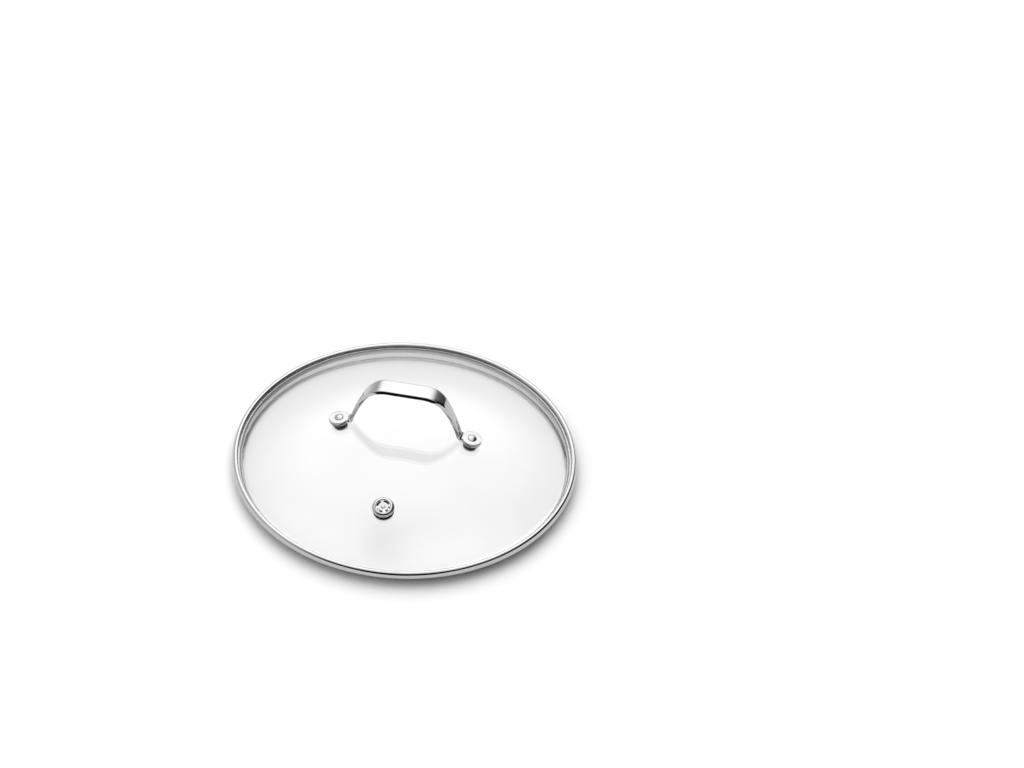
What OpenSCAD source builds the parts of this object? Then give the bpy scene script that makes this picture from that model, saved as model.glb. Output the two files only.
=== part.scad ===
// Tempered glass lid for a saucepan: a domed glass disc in a roll-formed steel rim,
// with a riveted strap handle and a slotted steam vent.
// Frame: origin at the centre of the plane that the rim skirt stands on, +Z up,
// the handle along X and the vent on the -Y side.

/* [Rim] */
// Outside diameter of the rim bead
rim_d = 210; // [190:1:230]
// Thickness of the rolled steel sheet
sheet_t = 0.45; // [0.35:0.05:0.5]
// Height of the bead that holds the glass edge
bead_h = 4.9; // [4.9:0.1:6]
// How far the upper lip reaches in over the glass, from the outside
lip_w = 2.3; // [2:0.1:4]
// Radius from the outside of the bead to the outside of the skirt
skirt_inset = 6.5; // [6:0.1:9]
// How far the skirt hangs below the bead
skirt_drop = 5.8; // [5:0.1:9]

/* [Glass] */
// Thickness of the glass
glass_t = 3.2; // [3:0.1:3.3]
// Radius of the outer surface of the dome
dome_r = 209; // [200:1:250]
// Distance from the outside of the rim to where the dome starts
dome_inset = 5; // [4:0.5:9]

/* [Handle] */
// Distance from the axis to a rivet hole, along the chord
rivet_x = 40.6; // [36:0.1:45]
// Height of the middle of the strap above the glass edge
arch_h = 56.9; // [50:0.1:62]
// Thickness of the strap
strap_t = 2.2; // [1.8:0.1:3]
// Width of the grip
grip_w = 12.4; // [10:0.1:16]
// Width of the strap at the foot of each leg
neck_w = 7.2; // [5:0.1:9]
// Distance from the middle of the grip to where it starts to narrow
taper_x = 16; // [12:0.5:20]
// Diameter of the round pad at each end
pad_d = 12.6; // [11:0.1:15]
// Slope of a leg where it leaves the grip
leg_top_angle = 60; // [55:1:66]
// Slope of a leg where it reaches the pad
leg_foot_angle = 75; // [72:1:85]
// Radius of the corner between grip and leg, at mid thickness
corner_r = 15; // [10:0.5:16]
// Radius of the bend between leg and pad, at mid thickness
foot_r = 3.2; // [2.5:0.1:5]

/* [Fixings] */
// Diameter of a rivet shank
shank_d = 4; // [3.5:0.1:4.4]
// Diameter of a domed rivet head
head_d = 5.6; // [5:0.1:7]
// Height of a domed rivet head
head_h = 1.2; // [0.9:0.1:1.6]
// Thickness of the gasket between pad and glass
gasket_t = 1.4; // [1:0.1:2.5]
// Diameter of the gasket between pad and glass
gasket_d = 11.2; // [10:0.1:12.6]
// Thickness of the gasket under the glass
under_gasket_t = 1.5; // [1:0.1:2]
// Thickness of the washer under the glass
washer_t = 0.8; // [0.6:0.1:1.5]
// Diameter of the washer under the glass
washer_d = 8.4; // [8:0.1:14]

/* [Vent] */
// Distance from the axis to the vent, along the chord
vent_y = 63.8; // [55:0.1:75]
// Outside diameter of the vent cap
vent_d = 13.6; // [12:0.1:16]
// Height of the vent cap above the flange it sits on
vent_h = 2.5; // [2:0.1:3.5]
// Diameter of the slotted recess in the vent
recess_d = 9.2; // [8.8:0.1:9.6]
// Depth of the slotted recess
recess_drop = 0.7; // [0.5:0.1:0.9]
// Inside diameter of the vent grommet
grommet_bore_d = 8.4; // [8:0.1:8.6]
// Width of a vent slot
slot_w = 1.3; // [0.8:0.1:1.4]
// Angle between the end centres of one vent slot
slot_span = 44; // [30:1:50]

/* [Hidden] */
$fn = 96;

steel = "silver";
rubber = "#202020";
clear = [0.85, 0.92, 0.92, 0.35];

gap = 0.02;                       // assembly clearance between touching pieces
bore_gap = 0.05;                  // radial clearance of a shank in a steel hole
rim_r = rim_d / 2;
bead_z = skirt_drop;              // underside of the bead
glass_z = bead_z + sheet_t + gap; // underside of the glass edge
edge_top_z = glass_z + glass_t;   // upper face of the glass edge
edge_gap = 0.25;                  // radial gap between the glass edge and the rim sheet
glass_r = rim_r - sheet_t - edge_gap;
dome_edge_r = rim_r - dome_inset; // where the dome meets the flat edge of the glass
overlap = 0.001;                  // shared by two parts of one section so that they join
dome_z = edge_top_z - sqrt(pow(dome_r, 2) - pow(dome_edge_r, 2)); // centre of the dome sphere

// Rim bead
bead_low_r = 1.9;                 // outside radius of the lower corner
bead_top_r = 1.8;                 // outside radius of the upper corner
bead_top_z = bead_z + bead_h;
lip_end_a = 148;                  // where the upper lip curls down to the glass
bend_r = 2.9;                     // inside radius of the bend from flange to skirt
skirt_r = rim_r - skirt_inset;    // outside radius of the skirt
hem_r = 0.75;                     // outside radius of the rolled hem
hem_end_a = -230;                 // how far round the hem is rolled

// Holes in the glass, each lined by a rubber sleeve
rivet_hole_d = 7.4;
sleeve_d = rivet_hole_d - 2 * gap;
vent_hole_d = 10.2;
vent_sleeve_d = vent_hole_d - 2 * gap;
rivet_tilt = asin(rivet_x / dome_r);
vent_tilt = asin(vent_y / dome_r);

// Vent, measured from the outer surface of the glass
flange_t = 1;                     // thickness of each flange of the grommet
flange_d = vent_d - 1;            // diameter of the flanges and of the washer
vent_sheet = 0.6;                 // thickness of the vent pressing
vent_crown_r = 2;                 // outside radius of the rounded edge
vent_base = flange_t + gap;       // underside of the cap
vent_floor = vent_base + vent_h - recess_drop;
slot_mid_r = 3.6;                 // radius of the middle of the slots
slot_turn = 65;                   // direction of the middle of the first slot
pin_d = 2;                        // shank of the vent rivet
pin_head_d = 3;
pin_head_h = 0.5;
washer_z = -glass_t - flange_t - gap - washer_t;

// Handle path, worked back from the pad
pad_h = gasket_t + strap_t / 2 + gap;                       // mid strap above the glass
pad_x = (dome_r + pad_h) * sin(rivet_tilt);
pad_z = dome_z + (dome_r + pad_h) * cos(rivet_tilt);
pad_reach = 5.6;                                            // pad centre to the start of the bend
bend_x = pad_x - pad_reach * cos(rivet_tilt);
bend_z = pad_z + pad_reach * sin(rivet_tilt);
grip_z = edge_top_z + arch_h - strap_t / 2;                 // mid strap at the grip
corner_drop = corner_r * (1 - cos(leg_top_angle));
foot_rise = foot_r * (cos(rivet_tilt) - cos(leg_foot_angle));
leg_r = (grip_z - bend_z - corner_drop - foot_rise) / (cos(leg_top_angle) - cos(leg_foot_angle));
leg_run = leg_r * (sin(leg_foot_angle) - sin(leg_top_angle));
foot_run = foot_r * (sin(leg_foot_angle) - sin(rivet_tilt));
grip_x = bend_x - foot_run - leg_run - corner_r * sin(leg_top_angle);
leg_end_x = bend_x - foot_run;
leg_end_z = bend_z + foot_rise;
pad_end = pad_d / 2 + 2;                                    // the path runs past the pad, the plan trims it

// Points on an arc about [x, y], from angle a0 to angle a1
function arc(x, y, r, a0, a1, n = 12) =
    [for (i = [0:n]) let (a = a0 + (a1 - a0) * i / n) [x + r * cos(a), y + r * sin(a)]];

// The list without its first point, for an arc that carries on from the one before
function rest(points) = [for (i = [1:len(points) - 1]) points[i]];

function unit(v) = v / norm(v);

// Unit normal of a path at point i, to the left of its direction
function path_normal(p, i) =
    let (a = p[max(i - 1, 0)], b = p[min(i + 1, len(p) - 1)], d = unit(b - a)) [-d[1], d[0]];

// Closed outline of a strip of thickness t centred on an open path
function strip(p, t) = concat(
    [for (i = [0:len(p) - 1]) p[i] + path_normal(p, i) * t / 2],
    [for (i = [len(p) - 1:-1:0]) p[i] - path_normal(p, i) * t / 2]
);

// Smooth step from 0 to 1
function ease(u) = (1 - cos(180 * min(max(u, 0), 1))) / 2;

// Places children on the outer surface of the dome, local +Z along its normal
module on_dome(azimuth, tilt) {
    rotate([0, 0, azimuth])
        translate([0, 0, dome_z])
            rotate([0, tilt, 0])
                translate([0, 0, dome_r])
                    children();
}

// Flat-topped ring of height t whose underside follows the outer surface of the dome
module ring_above_glass(d_out, d_in, t) {
    rotate_extrude() difference() {
        translate([d_in / 2, -1]) square([(d_out - d_in) / 2, t + 1]);
        translate([0, -dome_r]) circle(r = dome_r + gap, $fn = 1440);
    }
}

// Flat-bottomed ring of height t whose upper side follows the inner surface of the dome
module ring_below_glass(d_out, d_in, t) {
    rotate_extrude() intersection() {
        translate([d_in / 2, -glass_t - t]) square([(d_out - d_in) / 2, t + 1]);
        translate([0, -dome_r]) circle(r = dome_r - glass_t - gap, $fn = 1440);
    }
}

// Half section of the glass: dome, shoulder and flat edge with a pencil-ground rim
module glass_section() {
    edge_r = glass_t / 2;
    mid_z = glass_z + edge_r;
    difference() {
        union() {
            intersection() {
                translate([0, dome_z]) circle(r = dome_r, $fn = 720);
                translate([0, edge_top_z - overlap]) square([dome_edge_r + 1, dome_r]);
            }
            translate([0, glass_z]) square([glass_r - edge_r, glass_t]);
            translate([glass_r - edge_r, mid_z]) circle(r = edge_r);
        }
        intersection() {
            translate([0, dome_z]) circle(r = dome_r - glass_t, $fn = 720);
            translate([-1, glass_z - 1]) square([dome_edge_r, dome_r]);
        }
    }
}

module glass_dome() {
    color(clear)
    difference() {
        rotate_extrude($fn = 360) intersection() {
            glass_section();
            square([rim_r, dome_r]);
        }
        for (azimuth = [0, 180])
            on_dome(azimuth, rivet_tilt)
                translate([0, 0, -2 * glass_t]) cylinder(d = rivet_hole_d, h = 4 * glass_t);
        on_dome(-90, vent_tilt)
            translate([0, 0, -2 * glass_t]) cylinder(d = vent_hole_d, h = 4 * glass_t);
    }
}

// Mid line of the rim sheet: lip, bead, flange, bend, skirt and rolled hem
function rim_path() = let (
    h = sheet_t / 2,
    low = [rim_r - bead_low_r, bead_z + bead_low_r],
    top = [rim_r - lip_w, bead_top_z - bead_top_r],
    lean = atan2(low[0] - top[0], top[1] - low[1]),
    bend = [skirt_r - sheet_t + bend_r, bead_z + sheet_t - bend_r],
    hem = [skirt_r - hem_r, hem_r]
) concat(
    arc(top[0], top[1], bead_top_r - h, lip_end_a, lean, 20),
    arc(low[0], low[1], bead_low_r - h, lean, -90),
    arc(bend[0], bend[1], bend_r - h, 90, 180),
    arc(hem[0], hem[1], hem_r - h, 0, hem_end_a, 20)
);

module rim_band() {
    color(steel)
    rotate_extrude($fn = 360) polygon(strip(rim_path(), sheet_t));
}

// Mid line of one half of the handle, from the grip's corner to the end of the pad
function half_strap_path() = concat(
    arc(grip_x, grip_z - corner_r, corner_r, 90, 90 - leg_top_angle),
    rest(arc(leg_end_x - leg_r * sin(leg_foot_angle), leg_end_z - leg_r * cos(leg_foot_angle),
        leg_r, 90 - leg_top_angle, 90 - leg_foot_angle)),
    rest(arc(leg_end_x + foot_r * sin(leg_foot_angle), leg_end_z + foot_r * cos(leg_foot_angle),
        foot_r, 270 - leg_foot_angle, 270 - rivet_tilt)),
    [[pad_x + pad_end * cos(rivet_tilt), pad_z - pad_end * sin(rivet_tilt)]]
);

// Mid line of the whole handle, from the left pad to the right one
function strap_path() = let (half = half_strap_path()) concat(
    [for (i = [len(half) - 1:-1:0]) [-half[i][0], half[i][1]]], half
);

// Half width of the strap at distance x from the middle
function half_w(x) = grip_w / 2
    + (neck_w - grip_w) / 2 * ease((abs(x) - taper_x) / (leg_end_x - taper_x));

// Outline of the handle seen from above: wide grip, narrow legs, round pads
module strap_plan() {
    steps = 16;
    neck_a = asin(neck_w / pad_d);
    xs = [for (i = [-steps:steps]) leg_end_x * i / steps];
    upper = [for (x = xs) [x, half_w(x)]];
    right_pad = arc(pad_x, 0, pad_d / 2, 180 - neck_a, neck_a - 180, 40);
    lower = [for (x = xs) [-x, -half_w(x)]];
    left_pad = [for (p = right_pad) -p];
    polygon(concat(upper, right_pad, lower, left_pad));
}

module handle_strap() {
    color(steel)
    difference() {
        intersection() {
            rotate([90, 0, 0])
                linear_extrude(height = 2 * grip_w, center = true) polygon(strip(strap_path(), strap_t));
            linear_extrude(height = 2 * grip_z) strap_plan();
        }
        for (azimuth = [0, 180])
            on_dome(azimuth, rivet_tilt)
                cylinder(d = shank_d + 2 * bore_gap, h = 4 * strap_t);
    }
}

// Rubber bush: a disc between pad and glass with a sleeve down the glass hole
module foot_gasket(azimuth) {
    color(rubber)
    on_dome(azimuth, rivet_tilt)
        difference() {
            union() {
                ring_above_glass(gasket_d, shank_d, gasket_t);
                translate([0, 0, -glass_t]) cylinder(d = sleeve_d, h = glass_t + gasket_t / 2);
            }
            translate([0, 0, -2 * glass_t]) cylinder(d = shank_d + 2 * gap, h = 4 * glass_t);
        }
}

module under_gasket(azimuth) {
    color(rubber)
    on_dome(azimuth, rivet_tilt)
        ring_below_glass(washer_d, shank_d + 2 * gap, under_gasket_t);
}

module under_washer(azimuth) {
    color(steel)
    on_dome(azimuth, rivet_tilt)
        translate([0, 0, -glass_t - under_gasket_t - gap - washer_t])
            difference() {
                cylinder(d = washer_d, h = washer_t);
                translate([0, 0, -1]) cylinder(d = shank_d + 2 * bore_gap, h = washer_t + 2);
            }
}

// Domed rivet head of diameter d and height h with its flat face at z = 0
module rivet_head(d, h) {
    ball_r = (pow(d / 2, 2) + pow(h, 2)) / (2 * h);
    intersection() {
        cylinder(d = d, h = h);
        translate([0, 0, h - ball_r]) sphere(r = ball_r);
    }
}

// Shank from low to top with a domed head at each end
module headed_pin(d, low, top, head_d, head_h) {
    translate([0, 0, top]) rivet_head(head_d, head_h);
    translate([0, 0, low - head_h / 2]) cylinder(d = d, h = top - low + head_h);
    translate([0, 0, low]) mirror([0, 0, 1]) rivet_head(head_d, head_h);
}

module rivet(azimuth) {
    top = gasket_t + strap_t + 2 * gap;
    low = -glass_t - under_gasket_t - washer_t - 2 * gap;
    color(steel)
    on_dome(azimuth, rivet_tilt)
        headed_pin(shank_d, low, top, head_d, head_h);
}

// Half section of the pressed vent cap: rounded edge, recess and floor with a pin hole
module vent_cap_section() {
    crown_x = vent_d / 2 - vent_crown_r;
    crown_z = vent_h - vent_crown_r;
    floor_z = vent_h - recess_drop;
    wall_r = recess_d / 2 + vent_sheet;
    difference() {
        union() {
            intersection() {
                square([vent_d / 2, vent_h]);
                vent_shell_section(crown_x, crown_z);
            }
            translate([0, floor_z - vent_sheet]) square([wall_r, vent_sheet]);
            translate([recess_d / 2, floor_z - vent_sheet])
                square([vent_sheet, recess_drop + vent_sheet / 2]);
        }
        translate([-1, floor_z]) square([recess_d / 2 + 1, vent_h]);
        translate([-1, -1]) square([pin_d / 2 + bore_gap + 1, vent_h + 2]);
    }
}

// Outer wall and top of the cap before the recess is pressed in
module vent_shell_section(crown_x, crown_z) {
    difference() {
        union() {
            square([vent_d / 2, crown_z]);
            translate([crown_x, crown_z]) circle(r = vent_crown_r);
            square([crown_x, vent_h]);
        }
        translate([0, -1]) square([vent_d / 2 - vent_sheet, crown_z + 1]);
        translate([crown_x, crown_z]) circle(r = vent_crown_r - vent_sheet);
        translate([0, -1]) square([crown_x, vent_h - vent_sheet + 1]);
    }
}

// Outline of one slot: an arc of width slot_w with round ends
function slot_outline(mid_r) = let (
    half = slot_span / 2,
    e = slot_w / 2,
    end = mid_r * [cos(half), sin(half)]
) concat(
    arc(0, 0, mid_r + e, -half, half, 8),
    rest(arc(end[0], end[1], e, half, half + 180, 8)),
    rest(arc(0, 0, mid_r - e, half, -half, 8)),
    rest(arc(end[0], -end[1], e, 180 - half, 360 - half, 8))
);

// The four slots as solids of height h
module vent_slots(h) {
    for (i = [0:3])
        rotate([0, 0, slot_turn + 90 * i])
            linear_extrude(height = h) polygon(slot_outline(slot_mid_r));
}

module vent_cap() {
    color(steel)
    on_dome(-90, vent_tilt)
        difference() {
            translate([0, 0, vent_base]) rotate_extrude() vent_cap_section();
            translate([0, 0, vent_floor - 2 * vent_sheet]) vent_slots(vent_h);
        }
}

// Rubber sleeve through the glass with a flange on each side
module vent_grommet() {
    flange_in_d = grommet_bore_d - 1; // the bore cuts it to size
    color(rubber)
    on_dome(-90, vent_tilt)
        difference() {
            union() {
                ring_above_glass(flange_d, flange_in_d, flange_t);
                ring_below_glass(flange_d, flange_in_d, flange_t);
                translate([0, 0, -glass_t - flange_t / 2])
                    cylinder(d = vent_sleeve_d, h = glass_t + flange_t);
            }
            translate([0, 0, -2 * glass_t]) cylinder(d = grommet_bore_d, h = 4 * glass_t);
        }
}

// Slotted washer that holds the grommet from below
module vent_washer() {
    color(steel)
    on_dome(-90, vent_tilt)
        translate([0, 0, washer_z])
            difference() {
                cylinder(d = flange_d, h = washer_t);
                translate([0, 0, -1]) cylinder(d = pin_d + 2 * bore_gap, h = washer_t + 2);
                translate([0, 0, -1]) vent_slots(washer_t + 2);
            }
}

module vent_rivet() {
    color(steel)
    on_dome(-90, vent_tilt)
        headed_pin(pin_d, washer_z - gap, vent_floor + gap, pin_head_d, pin_head_h);
}

glass_dome();
rim_band();
handle_strap();
foot_gasket(180);  // foot_gasket_left
foot_gasket(0);  // foot_gasket_right
under_gasket(180);  // under_gasket_left
under_gasket(0);  // under_gasket_right
under_washer(180);  // under_washer_left
under_washer(0);  // under_washer_right
rivet(180);  // rivet_left
rivet(0);  // rivet_right
vent_cap();
vent_grommet();
vent_washer();
vent_rivet();
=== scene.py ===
"""Glass saucepan lid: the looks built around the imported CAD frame."""
import math

import bmesh
import bpy
from mathutils import Matrix, Vector


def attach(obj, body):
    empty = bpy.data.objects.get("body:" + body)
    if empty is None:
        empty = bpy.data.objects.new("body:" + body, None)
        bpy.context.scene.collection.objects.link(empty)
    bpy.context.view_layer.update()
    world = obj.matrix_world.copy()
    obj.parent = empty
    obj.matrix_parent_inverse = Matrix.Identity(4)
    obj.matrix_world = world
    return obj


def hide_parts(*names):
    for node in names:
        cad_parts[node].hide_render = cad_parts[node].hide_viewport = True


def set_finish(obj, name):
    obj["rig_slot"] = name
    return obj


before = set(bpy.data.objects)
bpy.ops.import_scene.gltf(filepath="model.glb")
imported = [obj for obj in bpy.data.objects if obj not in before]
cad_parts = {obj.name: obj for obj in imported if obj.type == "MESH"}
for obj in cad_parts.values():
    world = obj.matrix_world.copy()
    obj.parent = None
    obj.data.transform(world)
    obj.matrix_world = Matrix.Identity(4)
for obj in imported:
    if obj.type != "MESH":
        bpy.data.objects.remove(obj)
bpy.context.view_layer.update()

# ---------------------------------------------------------------- sizes, in mm, as in the CAD source
MM = 0.001
SHEET_T = 0.45
BEAD_H = 4.9
LIP_W = 2.3
SKIRT_INSET = 6.5
BEAD_Z = 5.8
BEAD_LOW_R = 1.9
BEAD_TOP_R = 1.8
LIP_END = 148.0
BEND_R = 2.9
HEM_R = 0.75
GLASS_T = 3.2
DOME_R = 209.0
DOME_EDGE_R = 100.0
SHOULDER_R = 8.0
RIM_R = 105.0
GAP = 0.02
BORE_GAP = 0.05
EDGE_GAP = 0.25
RIVET_X = 40.6
VENT_Y = 63.8

STRAP_T = 2.2
GRIP_W = 12.4
NECK_W = 7.2
TAPER_X = 16.0
PAD_D = 12.6
ARCH_H = 56.9
LEG_TOP = 60.0
LEG_FOOT = 75.0
CORNER_R = 15.0
FOOT_R = 3.2
PAD_REACH = 5.6

GASKET_T = 1.4
GASKET_D = 11.2
UNDER_GASKET_T = 1.5
WASHER_T = 0.8
WASHER_D = 8.4
SHANK_D = 4.0
HEAD_D = 5.6
HEAD_H = 1.2
RIVET_HOLE_D = 7.4

VENT_D = 13.6
VENT_H = 2.5
RECESS_D = 9.2
RECESS_DROP = 0.7
GROMMET_BORE_D = 8.4
VENT_HOLE_D = 10.2
FLANGE_T = 1.0
FLANGE_D = VENT_D - 1.0
VENT_SHEET = 0.6
VENT_CROWN_R = 2.0
SLOT_W = 1.3
SLOT_SPAN = 44.0
SLOT_MID_R = 3.6
SLOT_TURN = 65.0
PIN_D = 2.0
PIN_HEAD_D = 3.0
PIN_HEAD_H = 0.5

EDGE_BOTTOM = BEAD_Z + SHEET_T + GAP
EDGE_TOP = EDGE_BOTTOM + GLASS_T
GLASS_R = RIM_R - SHEET_T - EDGE_GAP
DOME_Z = EDGE_TOP - math.sqrt(DOME_R ** 2 - DOME_EDGE_R ** 2)
RIVET_TILT = math.degrees(math.asin(RIVET_X / DOME_R))
VENT_TILT = math.degrees(math.asin(VENT_Y / DOME_R))
VENT_BASE = FLANGE_T + GAP
VENT_FLOOR = VENT_BASE + VENT_H - RECESS_DROP
VENT_WASHER_Z = -GLASS_T - FLANGE_T - GAP - WASHER_T

# Resolution of the turned pieces
TURN_STEPS = 480
SMALL_STEPS = 96


# ---------------------------------------------------------------- outlines
def sin(a):
    """Sine of an angle in degrees."""
    return math.sin(math.radians(a))


def cos(a):
    """Cosine of an angle in degrees."""
    return math.cos(math.radians(a))


def arc(x, y, r, a0, a1, steps=16):
    """Points on an arc about (x, y), from angle a0 to a1 in degrees."""
    angles = [a0 + (a1 - a0) * i / steps for i in range(steps + 1)]
    return [(x + r * cos(a), y + r * sin(a)) for a in angles]


def without_repeats(points, least=1e-4):
    """The points without any that lies on the one before it."""
    kept = [points[0]]
    for p in points[1:]:
        if math.dist(p, kept[-1]) > least:
            kept.append(p)
    return kept


def normals_of(path):
    """Unit normal to the left of the path at each point."""
    out = []
    for i in range(len(path)):
        a, b = path[max(i - 1, 0)], path[min(i + 1, len(path) - 1)]
        d = math.dist(a, b)
        out.append((-(b[1] - a[1]) / d, (b[0] - a[0]) / d))
    return out


def strip(path, t):
    """Closed outline of a sheet of thickness t, with round edges, along an open path."""
    n = normals_of(path)
    left = [(p[0] + q[0] * t / 2, p[1] + q[1] * t / 2) for p, q in zip(path, n)]
    right = [(p[0] - q[0] * t / 2, p[1] - q[1] * t / 2) for p, q in zip(path, n)]
    end_a = math.degrees(math.atan2(n[-1][1], n[-1][0]))
    start_a = math.degrees(math.atan2(n[0][1], n[0][0]))
    end_cap = arc(*path[-1], t / 2, end_a, end_a - 180, 6)[1:-1]
    start_cap = arc(*path[0], t / 2, start_a - 180, start_a - 360, 6)[1:-1]
    return left + end_cap + right[::-1] + start_cap


def ease(u):
    """Smooth step from 0 to 1."""
    return (1 - cos(180 * min(max(u, 0), 1))) / 2


# ---------------------------------------------------------------- meshes
def piece(name, verts, faces, slot, node, sharp=40):
    """A named mesh object that rides on the root body and stands for one CAD node."""
    mesh = bpy.data.meshes.new(name)
    mesh.from_pydata([tuple(c * MM for c in v) for v in verts], [], faces)
    ob = bpy.data.objects.new(name, mesh)
    bpy.context.scene.collection.objects.link(ob)
    clean(mesh)
    smooth(mesh, sharp)
    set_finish(ob, slot)
    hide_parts(node)
    return ob


def clean(mesh):
    """Joins doubled points and turns every face outwards."""
    bm = bmesh.new()
    bm.from_mesh(mesh)
    bmesh.ops.remove_doubles(bm, verts=bm.verts, dist=2e-7)
    bmesh.ops.dissolve_degenerate(bm, edges=bm.edges, dist=1e-7)
    bmesh.ops.recalc_face_normals(bm, faces=bm.faces)
    bm.to_mesh(mesh)
    bm.free()


def smooth(mesh, sharp):
    """Smooth shading with creases above an angle in degrees."""
    mesh.polygons.foreach_set("use_smooth", [True] * len(mesh.polygons))
    mesh.set_sharp_from_angle(angle=math.radians(sharp))
    mesh.update()


def turned(outline, steps=SMALL_STEPS, closed=True, start=0.0, sweep=360.0):
    """Vertices and faces of an outline of (r, z) points turned about Z. A part turn gets end caps."""
    full = sweep >= 360
    rows = steps if full else steps + 1
    n = len(outline)
    verts = []
    for i in range(rows):
        a = start + sweep * i / steps
        verts += [(r * cos(a), r * sin(a), z) for r, z in outline]
    faces = []
    for i in range(steps):
        j = (i + 1) % rows
        for k in range(n if closed else n - 1):
            m = (k + 1) % n
            faces.append((i * n + k, j * n + k, j * n + m, i * n + m))
    if not full:
        faces.append(tuple(range(n)))
        faces.append(tuple(reversed(range((rows - 1) * n, rows * n))))
    return verts, faces


def on_dome(azimuth, tilt):
    """Places local points, in mm, on the dome with +Z along its normal."""
    return (Matrix.Rotation(math.radians(azimuth), 4, "Z")
            @ Matrix.Translation((0, 0, DOME_Z))
            @ Matrix.Rotation(math.radians(tilt), 4, "Y")
            @ Matrix.Translation((0, 0, DOME_R)))


def placed(verts, where):
    """The local points moved to their place on the part."""
    return [tuple(where @ Vector(v)) for v in verts]


def cut(ob, cutters):
    """Takes the cutters' solids out of ob and deletes them."""
    for c in cutters:
        mod = ob.modifiers.new("cut", "BOOLEAN")
        mod.operation = "DIFFERENCE"
        mod.solver = "EXACT"
        mod.object = c
    graph = bpy.context.evaluated_depsgraph_get()
    mesh = bpy.data.meshes.new_from_object(ob.evaluated_get(graph))
    ob.modifiers.clear()
    old, ob.data = ob.data, mesh
    bpy.data.meshes.remove(old)
    for c in cutters:
        bpy.data.objects.remove(c)


def cutter(outline, where, steps=SMALL_STEPS):
    """A turned solid used only to cut with."""
    verts, faces = turned(outline, steps)
    mesh = bpy.data.meshes.new("cutter")
    mesh.from_pydata([tuple(c * MM for c in v) for v in placed(verts, where)], [], faces)
    clean(mesh)
    ob = bpy.data.objects.new("cutter", mesh)
    bpy.context.scene.collection.objects.link(ob)
    return ob


def rod(d, low, high):
    """Outline of a plain round bar."""
    return [(0, low), (d / 2, low), (d / 2, high), (0, high)]


# ---------------------------------------------------------------- the glass
def glass_outline():
    """Half section from the top of the dome, round the ground edge, to the underside."""
    flat_top, flat_low = EDGE_TOP, EDGE_BOTTOM
    out_x, out_a = shoulder(DOME_R, flat_top, SHOULDER_R)
    in_x, in_a = shoulder(DOME_R - GLASS_T, flat_low, SHOULDER_R + GLASS_T)
    edge = GLASS_T / 2
    top = arc(0, DOME_Z, DOME_R, 90, out_a, 72)
    top += arc(out_x, flat_top + SHOULDER_R, SHOULDER_R, out_a + 180, 270, 12)
    rim = arc(GLASS_R - edge, (flat_top + flat_low) / 2, edge, 90, -90, 16)
    low = arc(in_x, flat_low + SHOULDER_R + GLASS_T, SHOULDER_R + GLASS_T, 270, in_a + 180, 12)
    low += arc(0, DOME_Z, DOME_R - GLASS_T, in_a, 90, 72)
    return without_repeats(top + rim + low)


def shoulder(sphere_r, flat_z, fillet_r):
    """Centre radius of the fillet from a dome to a flat edge, and the angle where it leaves the dome."""
    rise = flat_z + fillet_r - DOME_Z
    x = math.sqrt((sphere_r + fillet_r) ** 2 - rise ** 2)
    return x, math.degrees(math.atan2(rise, x))


def make_glass():
    """The turned disc with its two rivet holes and its vent hole."""
    outline = [(max(r, 0), z) for r, z in glass_outline()]
    verts, faces = turned(outline, TURN_STEPS, closed=False)
    ob = piece("glass", verts, faces, "glass", "glass_dome")
    rivet_hole = rod(RIVET_HOLE_D, -2 * GLASS_T, GLASS_T)
    vent_hole = rod(VENT_HOLE_D, -2 * GLASS_T, GLASS_T)
    holes = [cutter(rivet_hole, on_dome(a, RIVET_TILT), 64) for a in (0, 180)]
    holes.append(cutter(vent_hole, on_dome(-90, VENT_TILT), 64))
    cut(ob, holes)
    smooth(ob.data, 30)
    return ob


# ---------------------------------------------------------------- the rim
SEAM_AZIMUTH = -48.0
SEAM_GAP = 0.09


def rim_path():
    """Mid line of the sheet: lip, bead, flange, bend, skirt and rolled hem."""
    h = SHEET_T / 2
    low = (RIM_R - BEAD_LOW_R, BEAD_Z + BEAD_LOW_R)
    top = (RIM_R - LIP_W, BEAD_Z + BEAD_H - BEAD_TOP_R)
    lean = math.degrees(math.atan2(low[0] - top[0], top[1] - low[1]))
    skirt = RIM_R - SKIRT_INSET
    bend = (skirt - SHEET_T + BEND_R, BEAD_Z + SHEET_T - BEND_R)
    return without_repeats(
        arc(*top, BEAD_TOP_R - h, LIP_END, lean, 22)
        + arc(*low, BEAD_LOW_R - h, lean, -90, 16)
        + arc(*bend, BEND_R - h, 90, 180, 16)
        + arc(skirt - HEM_R, HEM_R, HEM_R - h, 0, -230, 20))


def make_rim():
    """The sheet turned about Z, with a hairline gap at its butt seam."""
    gap = math.degrees(SEAM_GAP / RIM_R)
    verts, faces = turned(strip(rim_path(), SHEET_T), TURN_STEPS, True, SEAM_AZIMUTH + gap / 2, 360 - gap)
    return piece("rim", verts, faces, "polished_steel", "rim_band", 50)


# ---------------------------------------------------------------- the handle
# Upper edge of the strap: distance in from the side in mm, and height as a share of half the thickness
STRAP_EDGE = ((0.00, -0.75), (0.06, -0.60), (0.29, -0.20), (0.52, 0.20), (0.75, 0.58), (0.92, 0.76),
              (1.20, 0.88), (1.55, 0.94), (2.00, 0.98), (2.40, 1.00))
LOWER_EDGE = ((0.10, -0.90), (0.35, -1.00))
SOFT_W = 2.4                  # half width below which the rounded edges shrink with the strap
PAD_CRISPNESS = 0.45          # width of the rounded edges on a pad, as a share of those on the grip
PAD_EDGE_FROM = 4.0           # distance inside a pad's centre where its edges reach that width


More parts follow.
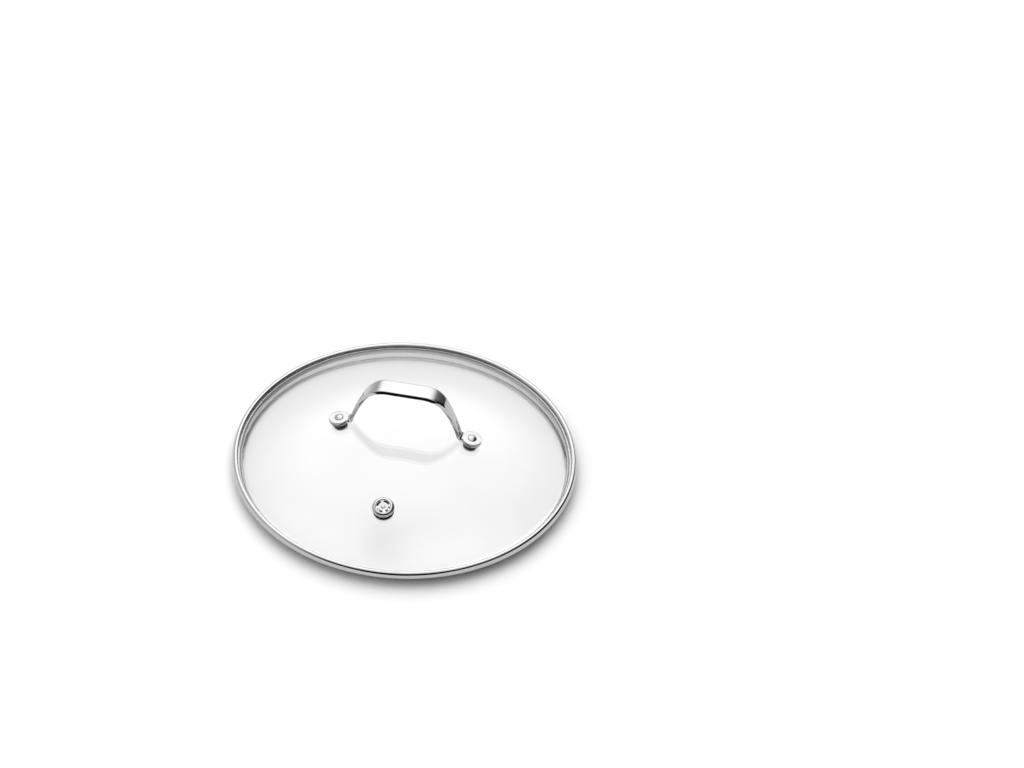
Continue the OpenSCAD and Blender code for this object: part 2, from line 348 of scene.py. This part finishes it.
def strap_path():
    """Mid line of the whole strap, worked back from the pads, and where the feet and pads are along X."""
    pad_h = DOME_R + GASKET_T + STRAP_T / 2 + GAP
    pad = (pad_h * sin(RIVET_TILT), DOME_Z + pad_h * cos(RIVET_TILT))
    bend = (pad[0] - PAD_REACH * cos(RIVET_TILT), pad[1] + PAD_REACH * sin(RIVET_TILT))
    grip_z = EDGE_TOP + ARCH_H - STRAP_T / 2
    drop = CORNER_R * (1 - cos(LEG_TOP))
    rise = FOOT_R * (cos(RIVET_TILT) - cos(LEG_FOOT))
    leg_r = (grip_z - bend[1] - drop - rise) / (cos(LEG_TOP) - cos(LEG_FOOT))
    foot_x = bend[0] - FOOT_R * (sin(LEG_FOOT) - sin(RIVET_TILT))
    foot_z = bend[1] + rise
    grip_x = foot_x - leg_r * (sin(LEG_FOOT) - sin(LEG_TOP)) - CORNER_R * sin(LEG_TOP)
    tip = (pad[0] + PAD_D / 2 * cos(RIVET_TILT), pad[1] - PAD_D / 2 * sin(RIVET_TILT))
    half = [(grip_x * i / 12, grip_z) for i in range(12)]
    half += arc(grip_x, grip_z - CORNER_R, CORNER_R, 90, 90 - LEG_TOP, 24)
    half += arc(foot_x - leg_r * sin(LEG_FOOT), foot_z - leg_r * cos(LEG_FOOT), leg_r,
                90 - LEG_TOP, 90 - LEG_FOOT, 20)
    half += arc(foot_x + FOOT_R * sin(LEG_FOOT), foot_z + FOOT_R * cos(LEG_FOOT), FOOT_R,
                270 - LEG_FOOT, 270 - RIVET_TILT, 16)
    steps = 40
    for i in range(1, steps + 1):
        u = ease(i / steps)
        half.append((bend[0] + (tip[0] - bend[0]) * u, bend[1] + (tip[1] - bend[1]) * u))
    half = without_repeats(half)
    return [(-x, z) for x, z in half[:0:-1]] + half, foot_x, pad[0]


def strap_half_width(x, foot_x, pad_x):
    """Half width of the strap at x: it narrows down each leg and ends in a round pad."""
    w = GRIP_W / 2 + (NECK_W - GRIP_W) / 2 * ease((abs(x) - TAPER_X) / (foot_x - TAPER_X))
    along = (abs(x) - pad_x) / cos(RIVET_TILT)
    pad = math.sqrt(max((PAD_D / 2) ** 2 - along ** 2, 0))
    return max(pad, w) if along < 0 else pad


def make_handle():
    """A ladder of cross sections, each with rounded upper edges that are crisper on the pads."""
    path, foot_x, pad_x = strap_path()
    loops = []
    for (x, z), (nx, nz) in zip(path, normals_of(path)):
        w = strap_half_width(x, foot_x, pad_x)
        mix = ease((abs(x) - foot_x) / (pad_x - PAD_EDGE_FROM - foot_x))
        soft = min(1 + (PAD_CRISPNESS - 1) * mix, w / SOFT_W)
        loops.append([(x + nx * n, y, z + nz * n) for y, n in strap_section(w, soft)])
    count = len(loops[0])
    verts = [v for loop in loops for v in loop]
    faces = []
    for i in range(len(loops) - 1):
        for k in range(count):
            m = (k + 1) % count
            faces.append((i * count + k, i * count + m, (i + 1) * count + m, (i + 1) * count + k))
    faces.append(tuple(range(count)))
    faces.append(tuple(reversed(range((len(loops) - 1) * count, len(loops) * count))))
    ob = piece("handle", verts, faces, "polished_steel", "handle_strap", 60)
    bore = rod(SHANK_D + 2 * BORE_GAP, 0, 5 * STRAP_T)
    cut(ob, [cutter(bore, on_dome(a, RIVET_TILT), 48) for a in (0, 180)])
    smooth(ob.data, 50)
    return ob


def strap_section(w, soft):
    """Closed loop of (y, n) points: a flat middle between shoulders scaled by soft."""
    half_t, flats = STRAP_T / 2, 6
    side = [(w - d * soft, n * half_t) for d, n in LOWER_EDGE[::-1] + STRAP_EDGE]
    flat = side[-1][0]
    top = [(flat * (1 - 2 * i / flats), half_t) for i in range(1, flats)]
    return side + top + [(-y, n) for y, n in side[::-1]]


# ---------------------------------------------------------------- fixings
def bevelled_ring(d_out, d_in, low, high, e=0.2):
    """Outline of a ring with softened outer corners."""
    r, q = d_out / 2, d_in / 2
    return ([(q, low)] + arc(r - e, low + e, e, -90, 0, 4)
            + arc(r - e, high - e, e, 0, 90, 4) + [(q, high)])


def dome_cap(r):
    """Height of the dome's outer surface below its local top, r from the local axis."""
    return DOME_R - math.sqrt(DOME_R ** 2 - r * r)


def small(name, outline, where, slot, node, sharp=40):
    """A small turned piece, set on the dome."""
    verts, faces = turned(without_repeats(outline), SMALL_STEPS)
    return piece(name, placed(verts, where), faces, slot, node, sharp)


def foot_gasket_outline():
    """Disc under the pad with a rounded edge, and a sleeve down the glass hole."""
    r, q, s = GASKET_D / 2, SHANK_D / 2 + GAP, RIVET_HOLE_D / 2 - GAP
    e = 0.35
    low = GAP - dome_cap(r)
    return ([(q, -GLASS_T), (s, -GLASS_T), (s, GAP - dome_cap(s))]
            + arc(r - e, low + e, e, -90, 0, 4) + arc(r - e, GASKET_T - e, e, 0, 90, 4) + [(q, GASKET_T)])


def under_ring_outline(d_out, d_in, t):
    """Ring under the glass whose upper face follows the glass."""
    inner_r = DOME_R - GLASS_T - GAP

    def top(r):
        return math.sqrt(inner_r ** 2 - r * r) - DOME_R
    q, r, e = d_in / 2, d_out / 2, 0.25
    return ([(q, -GLASS_T - t)] + arc(r - e, -GLASS_T - t + e, e, -90, 0, 4)
            + [(r, top(r)), ((q + r) / 2, top((q + r) / 2)), (q, top(q))])


def pin_outline(d, low, top, head_d, head_h):
    """Shank from low to top with a domed head at each end."""
    return (head_points(low, -1, head_d, head_h)[::-1] + [(d / 2, low), (d / 2, top)]
            + head_points(top, 1, head_d, head_h))


def head_points(z, side, d, h):
    """Domed head from its rounded brim to its top; side is 1 for up and -1 for down."""
    brim = 0.2 * h
    ball = ((d / 2) ** 2 + (h - brim) ** 2) / (2 * (h - brim))
    edge_a = math.degrees(math.acos(d / 2 / ball))
    dome = arc(0, h - ball, ball, edge_a, 90, 12)
    return [(r, z + side * up) for r, up in [(d / 2 - brim / 2, 0), (d / 2, brim / 2)] + dome]


def rivet_outline():
    """Rivet down the middle of the stack of one foot."""
    top = GASKET_T + STRAP_T + 2 * GAP
    low = -GLASS_T - UNDER_GASKET_T - WASHER_T - 2 * GAP
    return pin_outline(SHANK_D, low, top, HEAD_D, HEAD_H)


def make_fixings():
    """The stack of pieces at each end of the handle."""
    made = []
    washer_low = -GLASS_T - UNDER_GASKET_T - GAP - WASHER_T
    for side, azimuth in (("left", 180), ("right", 0)):
        where = on_dome(azimuth, RIVET_TILT)
        made += [
            small("foot_gasket_" + side + "_visual", foot_gasket_outline(), where,
                  "black_silicone", "foot_gasket_" + side),
            small("under_gasket_" + side + "_visual",
                  under_ring_outline(WASHER_D, SHANK_D + 2 * GAP, UNDER_GASKET_T), where,
                  "black_silicone", "under_gasket_" + side),
            small("under_washer_" + side + "_visual",
                  bevelled_ring(WASHER_D, SHANK_D + 2 * BORE_GAP, washer_low, washer_low + WASHER_T), where,
                  "plain_steel", "under_washer_" + side),
            small("rivet_" + side + "_visual", rivet_outline(), where,
                  "polished_steel", "rivet_" + side, 50),
        ]
    return made


# ---------------------------------------------------------------- the vent
def vent_cap_outline():
    """Pressing with a rounded edge, a recessed floor and a pin hole in the middle."""
    t, crown_r = VENT_SHEET, VENT_CROWN_R
    crown = (VENT_D / 2 - crown_r, VENT_BASE + VENT_H - crown_r)
    wall, lip = RECESS_D / 2, 0.25
    hole = PIN_D / 2 + BORE_GAP
    under = VENT_FLOOR - t
    wall_top = VENT_BASE + VENT_H - t - BORE_GAP   # just under the inner face of the crown
    return ([(hole, under), (wall + t, under), (wall + t, wall_top)]
            + arc(*crown, crown_r - t, 80, 0, 12)
            + [(VENT_D / 2 - t, VENT_BASE)]
            + arc(VENT_D / 2 - 0.15, VENT_BASE + 0.15, 0.15, -90, 0, 3)
            + arc(*crown, crown_r, 0, 90, 20)
            + arc(wall + lip, VENT_BASE + VENT_H - lip, lip, 90, 180, 5)
            + arc(wall - lip, VENT_FLOOR + lip, lip, 0, -90, 5)
            + [(hole + 0.9, VENT_FLOOR), (hole, VENT_FLOOR)])


def slot_cutters(low, high, where):
    """Solids that cut four arc-shaped slots with round ends."""
    return [slot_cutter(SLOT_TURN + 90 * i, low, high, where) for i in range(4)]


def slot_cutter(turn, low, high, where):
    half, e, mid = SLOT_SPAN / 2, SLOT_W / 2, SLOT_MID_R
    flat = (arc(0, 0, mid + e, -half, half, 10)
            + arc(mid * cos(half), mid * sin(half), e, half, half + 180, 8)
            + arc(0, 0, mid - e, half, -half, 10)
            + arc(mid * cos(half), -mid * sin(half), e, 180 - half, 360 - half, 8))
    flat = without_repeats(flat)[:-1]
    n = len(flat)
    spin = where @ Matrix.Rotation(math.radians(turn), 4, "Z")
    verts = placed([(x, y, z) for z in (low, high) for x, y in flat], spin)
    faces = [tuple(reversed(range(n))), tuple(range(n, 2 * n))]
    faces += [(i, (i + 1) % n, n + (i + 1) % n, n + i) for i in range(n)]
    mesh = bpy.data.meshes.new("slot")
    mesh.from_pydata([tuple(c * MM for c in v) for v in verts], [], faces)
    clean(mesh)
    ob = bpy.data.objects.new("slot", mesh)
    bpy.context.scene.collection.objects.link(ob)
    return ob


def grommet_outline():
    """Sleeve through the glass with a flange that follows each face of the glass."""
    bore, neck, r, e = GROMMET_BORE_D / 2, VENT_HOLE_D / 2 - GAP, FLANGE_D / 2, 0.25
    inner_r = DOME_R - GLASS_T - GAP

    def inner(x):
        return math.sqrt(inner_r ** 2 - x * x) - DOME_R
    low = -GLASS_T - FLANGE_T
    return ([(bore, low)] + arc(r - e, low + e, e, -90, 0, 4) + [(r, inner(r)), (neck, inner(neck))]
            + [(neck, GAP - dome_cap(neck)), (r - e / 2, GAP - dome_cap(r))]
            + arc(r - e, FLANGE_T - e, e, 0, 90, 4) + [(bore, FLANGE_T)])


def make_vent():
    """The vent cap, the sleeve in the glass, the lower washer and the rivet that clamps them."""
    where = on_dome(-90, VENT_TILT)
    cap = small("vent_cap_visual", vent_cap_outline(), where, "polished_steel", "vent_cap", 50)
    cut(cap, slot_cutters(VENT_FLOOR - 2 * VENT_SHEET, VENT_FLOOR + 1, where))
    washer = small("vent_washer_visual",
                   bevelled_ring(FLANGE_D, PIN_D + 2 * BORE_GAP, VENT_WASHER_Z,
                                 VENT_WASHER_Z + WASHER_T, 0.15),
                   where, "plain_steel", "vent_washer")
    cut(washer, slot_cutters(VENT_WASHER_Z - 1, VENT_WASHER_Z + WASHER_T + 1, where))
    pin = pin_outline(PIN_D, VENT_WASHER_Z - GAP, VENT_FLOOR + GAP, PIN_HEAD_D, PIN_HEAD_H)
    for ob in (cap, washer):
        smooth(ob.data, 40)
    return [
        cap, washer,
        small("vent_grommet_visual", grommet_outline(), where, "black_silicone", "vent_grommet"),
        small("vent_rivet_visual", pin, where, "polished_steel", "vent_rivet", 50),
    ]


# ---------------------------------------------------------------- materials
STEEL_TONE = 0.49


def new_material(name):
    """A material with its nodes, links and main shader."""
    mat = bpy.data.materials.new(name)
    mat.use_nodes = True
    nodes = mat.node_tree.nodes
    return mat, nodes, mat.node_tree.links, nodes["Principled BSDF"]


def node(nodes, kind, **values):
    """A new node with values set on its inputs, or on itself where it has no such input."""
    n = nodes.new(kind)
    for key, value in values.items():
        if key in n.inputs:
            n.inputs[key].default_value = value
        else:
            setattr(n, key, value)
    return n


def remap(nodes, links, source, low, high):
    """A 0 to 1 source spread over low to high."""
    n = nodes.new("ShaderNodeMapRange")
    n.inputs["To Min"].default_value = low
    n.inputs["To Max"].default_value = high
    links.new(source, n.inputs["Value"])
    return n.outputs["Result"]


def polished_steel():
    """Mirror-polished stainless: faint buffing haze and very fine scratches."""
    mat, nodes, links, bsdf = new_material("polished_steel")
    bsdf.inputs["Base Color"].default_value = (STEEL_TONE, STEEL_TONE, STEEL_TONE, 1)
    bsdf.inputs["Metallic"].default_value = 1
    place = nodes.new("ShaderNodeTexCoord").outputs["Object"]
    haze = node(nodes, "ShaderNodeTexNoise", Scale=90.0, Detail=4.0)
    fine = node(nodes, "ShaderNodeTexNoise", Scale=2600.0, Detail=2.0)
    links.new(place, haze.inputs["Vector"])
    links.new(place, fine.inputs["Vector"])
    links.new(remap(nodes, links, haze.outputs["Fac"], 0.02, 0.07), bsdf.inputs["Roughness"])
    bump = node(nodes, "ShaderNodeBump", Strength=0.01, Distance=0.00005)
    links.new(fine.outputs["Fac"], bump.inputs["Height"])
    links.new(bump.outputs["Normal"], bsdf.inputs["Normal"])
    return mat


def plain_steel():
    """Rolled stainless washer stock: duller, with a fine grain."""
    mat, nodes, links, bsdf = new_material("plain_steel")
    bsdf.inputs["Base Color"].default_value = (0.66, 0.66, 0.65, 1)
    bsdf.inputs["Metallic"].default_value = 1
    place = nodes.new("ShaderNodeTexCoord").outputs["Object"]
    stretch = node(nodes, "ShaderNodeMapping")
    stretch.inputs["Scale"].default_value = (1, 14, 1)
    grain = node(nodes, "ShaderNodeTexNoise", Scale=420.0, Detail=5.0)
    links.new(place, stretch.inputs["Vector"])
    links.new(stretch.outputs["Vector"], grain.inputs["Vector"])
    links.new(remap(nodes, links, grain.outputs["Fac"], 0.2, 0.42), bsdf.inputs["Roughness"])
    bump = node(nodes, "ShaderNodeBump", Strength=0.15, Distance=0.0001)
    links.new(grain.outputs["Fac"], bump.inputs["Height"])
    links.new(bump.outputs["Normal"], bsdf.inputs["Normal"])
    return mat


def black_silicone():
    """Matt black silicone with a faint bloom."""
    mat, nodes, links, bsdf = new_material("black_silicone")
    place = nodes.new("ShaderNodeTexCoord").outputs["Object"]
    dust = node(nodes, "ShaderNodeTexNoise", Scale=700.0, Detail=6.0)
    links.new(place, dust.inputs["Vector"])
    shade = nodes.new("ShaderNodeValToRGB")
    shade.color_ramp.elements[0].color = (0.010, 0.010, 0.011, 1)
    shade.color_ramp.elements[1].color = (0.030, 0.030, 0.031, 1)
    links.new(dust.outputs["Fac"], shade.inputs["Fac"])
    links.new(shade.outputs["Color"], bsdf.inputs["Base Color"])
    links.new(remap(nodes, links, dust.outputs["Fac"], 0.42, 0.62), bsdf.inputs["Roughness"])
    bump = node(nodes, "ShaderNodeBump", Strength=0.2, Distance=0.0001)
    links.new(dust.outputs["Fac"], bump.inputs["Height"])
    links.new(bump.outputs["Normal"], bsdf.inputs["Normal"])
    return mat


def clear_glass():
    """Tempered soda-lime glass. Lamps and soft light pass straight through to what is under it."""
    mat, nodes, links, bsdf = new_material("clear_glass")
    bsdf.inputs["Base Color"].default_value = (0.975, 0.977, 0.976, 1)
    bsdf.inputs["Roughness"].default_value = 0
    bsdf.inputs["IOR"].default_value = 1.5
    bsdf.inputs["Transmission Weight"].default_value = 1
    through = nodes.new("ShaderNodeBsdfTransparent")
    through.inputs["Color"].default_value = (0.95, 0.95, 0.95, 1)
    path = nodes.new("ShaderNodeLightPath")
    lit = node(nodes, "ShaderNodeMath", operation="MAXIMUM")
    links.new(path.outputs["Is Shadow Ray"], lit.inputs[0])
    links.new(path.outputs["Is Diffuse Ray"], lit.inputs[1])
    mix = nodes.new("ShaderNodeMixShader")
    links.new(lit.outputs[0], mix.inputs["Fac"])
    links.new(bsdf.outputs["BSDF"], mix.inputs[1])
    links.new(through.outputs["BSDF"], mix.inputs[2])
    links.new(mix.outputs["Shader"], nodes["Material Output"].inputs["Surface"])
    return mat


# ---------------------------------------------------------------- the studio
FLOOR_TONE = 0.73
FLOOR_SIZE = 14.0
SKY_STRENGTH = 1.4
# Brightness at each sine of the elevation, from the horizon to overhead
SKY_BRIGHT = ((0.00, 0.62), (0.30, 0.50), (0.60, 0.60), (0.90, 1.00))
SKY_DARK = ((0.00, 0.005), (0.60, 0.01), (0.74, 0.17), (0.86, 0.60), (0.94, 1.00))
BRIGHT_SIDE = (-0.75, 0.66)   # level direction towards the bright wall of the studio
BRIGHT_EDGE = (-0.2, 0.6)     # share of that direction where the bright wall starts and is full
WINDOW_DIRECTION = (-0.10, 0.66, 0.745)
WINDOW_STRENGTH = 0.8
WINDOW_EDGE = (0.80, 0.96)    # cosines from the middle of the window where its glow starts and is full
BACKDROP = 0.7                # the studio as the camera itself sees it
KEY_LIGHT = {"azimuth": 172, "elevation": 62, "distance": 1.8, "size": 2.4, "power": 14.0}
FILL_LIGHT = {"azimuth": -10, "elevation": 50, "distance": 1.8, "size": 2.4, "power": 20.0}

# Camera, as seen from the middle of the rim
CAMERA_AZIMUTH = 10.8
CAMERA_ELEVATION = 42.57
CAMERA_DISTANCE = 6.92
CAMERA_LENS = 400.0
CAMERA_ROLL = -1.68
CAMERA_AIM_Z = 6.9            # height of the point that the camera is placed around, in mm
LID_LEFT_OF_MIDDLE = 0.541    # degrees
LID_BELOW_MIDDLE = 0.388      # degrees


def make_floor():
    """Plain pale floor."""
    bpy.ops.mesh.primitive_grid_add(x_subdivisions=8, y_subdivisions=8, size=FLOOR_SIZE)
    floor = bpy.context.object
    floor.name = "floor"
    mat, nodes, links, bsdf = new_material("floor")
    bsdf.inputs["Base Color"].default_value = (FLOOR_TONE, FLOOR_TONE, FLOOR_TONE, 1)
    bsdf.inputs["Roughness"].default_value = 0.9
    bsdf.inputs["Specular IOR Level"].default_value = 0.1
    floor.data.materials.append(mat)


def sky_ramp(nodes, links, rise, stops):
    """Grey at each height above the horizon."""
    ramp = nodes.new("ShaderNodeValToRGB")
    ramp.color_ramp.interpolation = "EASE"
    while len(ramp.color_ramp.elements) < len(stops):
        ramp.color_ramp.elements.new(0.5)
    for element, (at, value) in zip(ramp.color_ramp.elements, stops):
        element.position = at
        element.color = (value, value, value, 1)
    links.new(rise, ramp.inputs["Fac"])
    return ramp.outputs["Color"]


def make_sky():
    """A studio that is bright overhead and behind, and dark low down on the camera's side."""
    world = bpy.data.worlds.new("studio")
    bpy.context.scene.world = world
    world.use_nodes = True
    nodes, links = world.node_tree.nodes, world.node_tree.links
    coord = nodes.new("ShaderNodeTexCoord")
    split = nodes.new("ShaderNodeSeparateXYZ")
    links.new(coord.outputs["Generated"], split.inputs["Vector"])
    toward = node(nodes, "ShaderNodeVectorMath", operation="DOT_PRODUCT")
    links.new(coord.outputs["Generated"], toward.inputs[0])
    toward.inputs[1].default_value = (*BRIGHT_SIDE, 0)
    side = nodes.new("ShaderNodeMapRange")
    side.interpolation_type = "SMOOTHSTEP"
    side.inputs["From Min"].default_value, side.inputs["From Max"].default_value = BRIGHT_EDGE
    links.new(toward.outputs["Value"], side.inputs["Value"])
    mix = nodes.new("ShaderNodeMix")
    mix.data_type = "RGBA"
    links.new(side.outputs["Result"], mix.inputs[0])
    links.new(sky_ramp(nodes, links, split.outputs["Z"], SKY_DARK), mix.inputs[6])
    links.new(sky_ramp(nodes, links, split.outputs["Z"], SKY_BRIGHT), mix.inputs[7])
    window = node(nodes, "ShaderNodeVectorMath", operation="DOT_PRODUCT")
    links.new(coord.outputs["Generated"], window.inputs[0])
    window.inputs[1].default_value = WINDOW_DIRECTION
    glow = nodes.new("ShaderNodeMapRange")
    glow.interpolation_type = "SMOOTHSTEP"
    glow.inputs["From Min"].default_value, glow.inputs["From Max"].default_value = WINDOW_EDGE
    glow.inputs["To Max"].default_value = WINDOW_STRENGTH
    links.new(window.outputs["Value"], glow.inputs["Value"])
    lit = node(nodes, "ShaderNodeVectorMath", operation="ADD")
    links.new(mix.outputs[2], lit.inputs[0])
    links.new(glow.outputs["Result"], lit.inputs[1])
    path = nodes.new("ShaderNodeLightPath")
    seen = nodes.new("ShaderNodeMix")
    seen.data_type = "RGBA"
    links.new(path.outputs["Is Camera Ray"], seen.inputs[0])
    links.new(lit.outputs["Vector"], seen.inputs[6])
    seen.inputs[7].default_value = (BACKDROP, BACKDROP, BACKDROP, 1)
    links.new(seen.outputs[2], nodes["Background"].inputs["Color"])
    nodes["Background"].inputs["Strength"].default_value = SKY_STRENGTH


def make_light(name, azimuth, elevation, distance, size, power):
    """A soft square lamp aimed at the origin, which no mirror or glass shows."""
    light = bpy.data.lights.new(name, "AREA")
    light.shape = "SQUARE"
    light.size = size
    light.energy = power
    ob = bpy.data.objects.new(name, light)
    ob.visible_glossy = False
    ob.visible_transmission = False
    bpy.context.scene.collection.objects.link(ob)
    a = Vector((sin(azimuth) * cos(elevation), -cos(azimuth) * cos(elevation), sin(elevation)))
    ob.location = a * distance
    ob.rotation_euler = (-a).to_track_quat("-Z", "Y").to_euler()
    return ob


def make_camera():
    """Places the camera so that the lid sits left of and below the middle of the picture."""
    a, e = CAMERA_AZIMUTH, CAMERA_ELEVATION
    sight = -Vector((sin(a) * cos(e), -cos(a) * cos(e), sin(e)))
    target = Vector((0, 0, CAMERA_AIM_Z * MM))
    level = sight.to_track_quat("-Z", "Y").to_matrix()
    roll = Matrix.Rotation(math.radians(CAMERA_ROLL), 3, sight)
    left = math.tan(math.radians(LID_LEFT_OF_MIDDLE))
    below = math.tan(math.radians(LID_BELOW_MIDDLE))
    ray = Vector((-left, -below, -1)).normalized()
    aim = Vector((0, 0, -1)).rotation_difference(ray).to_matrix()
    turn = roll @ level @ aim.inverted()
    data = bpy.data.cameras.new("camera")
    data.lens = CAMERA_LENS
    data.sensor_width = 36
    data.clip_start = 0.05
    camera = bpy.data.objects.new("camera", data)
    bpy.context.scene.collection.objects.link(camera)
    camera.matrix_world = Matrix.Translation(target - sight * CAMERA_DISTANCE) @ turn.to_4x4()
    bpy.context.scene.camera = camera


# ---------------------------------------------------------------- the scene
make_camera()
make_floor()
make_sky()
make_light("key", **KEY_LIGHT)
make_light("fill", **FILL_LIGHT)

pieces = [make_glass(), make_rim(), make_handle()] + make_fixings() + make_vent()
materials = {
    "glass": clear_glass(),
    "polished_steel": polished_steel(),
    "plain_steel": plain_steel(),
    "black_silicone": black_silicone(),
}
for made in pieces:
    made.data.materials.clear()
    made.data.materials.append(materials[made["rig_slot"]])
    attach(made, "root")

bpy.context.scene.view_settings.view_transform = "Standard"
